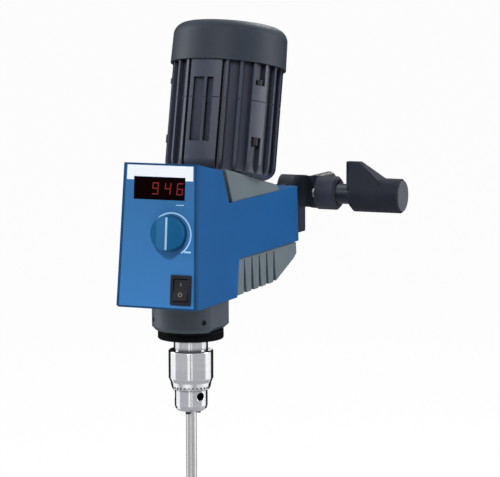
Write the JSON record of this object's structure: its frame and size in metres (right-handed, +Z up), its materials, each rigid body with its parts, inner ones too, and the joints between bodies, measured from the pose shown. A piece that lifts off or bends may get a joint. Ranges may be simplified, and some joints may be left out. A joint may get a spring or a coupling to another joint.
{
  "type": "overhead stirrer",
  "caption": "Overhead laboratory stirrer with a leaning motor on a friction-drive gear unit, keyed chuck, stirring shaft with propeller, and a boss head on its extension arm.",
  "frame": {"origin": "centre of the boss head's jaw, on the axis of the stand rod that it grips", "axes": "+Z up along the stand rod, -Y to the front panel, +X to the right seen from the front, towards the rod screw's knob"},
  "size_m": [0.1478, 0.3516, 0.5792],
  "materials": {
    "housing_paint": "satin blue paint",
    "panel_border": "satin dark blue paint",
    "panel_foil": "blue printed foil",
    "grey_plastic": "matt grey",
    "black_rubber": "matt black",
    "display_window": "dark red filter",
    "black_plastic": "fine grain",
    "board": "green laminate",
    "flange_grey": "satin dark grey",
    "motor_grey": "satin charcoal",
    "cap_grey": "fine grain charcoal",
    "machined_steel": "machined",
    "bronze": "sintered bronze",
    "copper": "varnished copper wire",
    "wheel_hub": "turned",
    "tyre_rubber": "matt",
    "stainless": "drawn bright",
    "chuck_chrome": "polished",
    "boss_black": "satin black",
    "knob_blue": "satin teal blue",
    "white_mark": "white insert",
    "end_disc": "light grey"
  },
  "bodies": {
    "boss_head": {"boss_head": "boss_black"},
    "rod_pad": {"rod_pad": "machined_steel"},
    "rod_knob": {"rod_screw": "machined_steel", "rod_knob": "black_plastic", "knob_end_cap": "end_disc"},
    "arm_pad": {"arm_pad": "machined_steel"},
    "arm_knob": {"arm_screw": "machined_steel", "arm_knob": "black_plastic"},
    "drive_unit": {"housing_shell": "housing_paint", "motor_base": "grey_plastic", "motor_base_seal": "black_rubber", "ribbed_cowl": "grey_plastic", "front_panel": "panel_border", "panel_foil": "panel_foil", "display_window": "display_window", "display_module": "black_plastic", "display_board": "board", "switch_frame": "black_plastic", "gear_flange": "flange_grey", "gear_plate": "machined_steel", "bearing_bridge": "machined_steel", "spindle_bearings": "machined_steel", "countershaft_bushes": "bronze", "guide_rod": "machined_steel", "motor_housing_lower": "motor_grey", "motor_housing_upper": "motor_grey", "motor_cap": "cap_grey", "tie_screws": "machined_steel", "stator": "machined_steel", "windings": "copper", "motor_bearings": "machined_steel", "power_board": "board", "run_capacitor": "black_plastic", "cord_gland": "black_plastic", "extension_arm": "stainless"},
    "power_rocker": {"power_rocker": "black_plastic"},
    "speed_knob": {"speed_knob": "knob_blue", "knob_pointer": "white_mark", "speed_pinion": "machined_steel"},
    "shift_fork": {"shift_fork": "wheel_hub"},
    "countershaft": {"countershaft": "machined_steel", "high_drive_gear": "machined_steel", "low_drive_gear": "machined_steel"},
    "friction_wheel": {"friction_wheel": "wheel_hub", "friction_tyre": "tyre_rubber"},
    "spindle": {"hollow_spindle": "machined_steel", "spindle_gears": "machined_steel", "chuck_body": "chuck_chrome", "stirring_shaft": "stainless", "impeller": "stainless"},
    "chuck_sleeve": {"chuck_sleeve": "chuck_chrome", "chuck_nut": "chuck_chrome"},
    "chuck_jaw_1": {"chuck_jaw_1": "chuck_chrome"},
    "chuck_jaw_2": {"chuck_jaw_2": "chuck_chrome"},
    "chuck_jaw_3": {"chuck_jaw_3": "chuck_chrome"},
    "range_ring": {"range_ring": "black_plastic"},
    "rotor": {"rotor": "machined_steel", "motor_shaft": "machined_steel", "friction_cone": "machined_steel", "cooling_fan": "black_plastic"}
  },
  "joints": [
    {"name": "drive_slide", "type": "slide", "parent": "boss_head", "child": "drive_unit", "axis": [0, -1, 0], "range_m": [-0.026, 0.06]},
    {"name": "rod_pad_slide", "type": "slide", "parent": "boss_head", "child": "rod_pad", "axis": [1, 0, 0], "range_m": [0, 0.012]},
    {"name": "rod_knob_turn", "type": "hinge", "parent": "rod_pad", "child": "rod_knob", "pos_m": [0.037, 0, 0], "axis": [1, 0, 0], "range_deg": [0, 2860]},
    {"name": "arm_pad_slide", "type": "slide", "parent": "boss_head", "child": "arm_pad", "axis": [0, 0, -1], "range_m": [0, 0.006]},
    {"name": "arm_knob_turn", "type": "hinge", "parent": "arm_pad", "child": "arm_knob", "pos_m": [-0.02, 0.0225, -0.0267], "axis": [0, 0, -1], "range_deg": [0, 1430]},
    {"name": "rocker_tip", "type": "hinge", "parent": "drive_unit", "child": "power_rocker", "pos_m": [-0.0006, -0.23679, -0.04766], "axis": [1, 0, 0], "range_deg": [0, 14]},
    {"name": "speed_knob_turn", "type": "hinge", "parent": "drive_unit", "child": "speed_knob", "pos_m": [-0.0105, -0.23311, -0.00733], "axis": [0, -0.9959, 0.0906], "range_deg": [-105, 105]},
    {"name": "fork_slide", "type": "slide", "parent": "drive_unit", "child": "shift_fork", "axis": [0, 0, 1], "range_m": [-0.0092, 0.0092]},
    {"name": "rotor_spin", "type": "hinge", "parent": "drive_unit", "child": "rotor", "pos_m": [-0.02, -0.1229, 0.0232], "axis": [0, 0.2079, 0.9781], "continuous": true},
    {"name": "countershaft_spin", "type": "hinge", "parent": "drive_unit", "child": "countershaft", "pos_m": [-0.02, -0.153, -0.0267], "axis": [0, 0, 1], "continuous": true},
    {"name": "wheel_slide", "type": "slide", "parent": "countershaft", "child": "friction_wheel", "axis": [0, 0, 1], "range_m": [-0.0092, 0.0092]},
    {"name": "spindle_spin", "type": "hinge", "parent": "drive_unit", "child": "spindle", "pos_m": [-0.02, -0.1775, -0.0467], "axis": [0, 0, 1], "continuous": true},
    {"name": "sleeve_turn", "type": "hinge", "parent": "spindle", "child": "chuck_sleeve", "pos_m": [-0.02, -0.1775, -0.1167], "axis": [0, 0, 1], "range_deg": [0, 1100]},
    {"name": "jaw_slide_1", "type": "slide", "parent": "spindle", "child": "chuck_jaw_1", "axis": [0.1811, 0.1021, 0.9781], "range_m": [0, 0.0046]},
    {"name": "jaw_slide_2", "type": "slide", "parent": "spindle", "child": "chuck_jaw_2", "axis": [-0.179, 0.1058, 0.9781], "range_m": [0, 0.0046]},
    {"name": "jaw_slide_3", "type": "slide", "parent": "spindle", "child": "chuck_jaw_3", "axis": [-0.0022, -0.2079, 0.9781], "range_m": [0, 0.0046]},
    {"name": "range_ring_turn", "type": "hinge", "parent": "drive_unit", "child": "range_ring", "pos_m": [-0.02, -0.1775, -0.0887], "axis": [0, 0, 1], "range_deg": [0, 60]}
  ],
  "couplings": [
    {"joint": "rod_pad_slide", "follows": "rod_knob_turn", "m_per_rad": 0.00023873},
    {"joint": "arm_pad_slide", "follows": "arm_knob_turn", "m_per_rad": 0.00023873},
    {"joint": "fork_slide", "follows": "speed_knob_turn", "m_per_rad": 0.005},
    {"joint": "wheel_slide", "follows": "speed_knob_turn", "m_per_rad": 0.005},
    {"joint": "countershaft_spin", "follows": "rotor_spin", "ratio": -0.43779},
    {"joint": "spindle_spin", "follows": "rotor_spin", "ratio": 0.45603},
    {"joint": "jaw_slide_1", "follows": "sleeve_turn", "m_per_rad": 0.00023873},
    {"joint": "jaw_slide_2", "follows": "sleeve_turn", "m_per_rad": 0.00023873},
    {"joint": "jaw_slide_3", "follows": "sleeve_turn", "m_per_rad": 0.00023873}
  ]
}
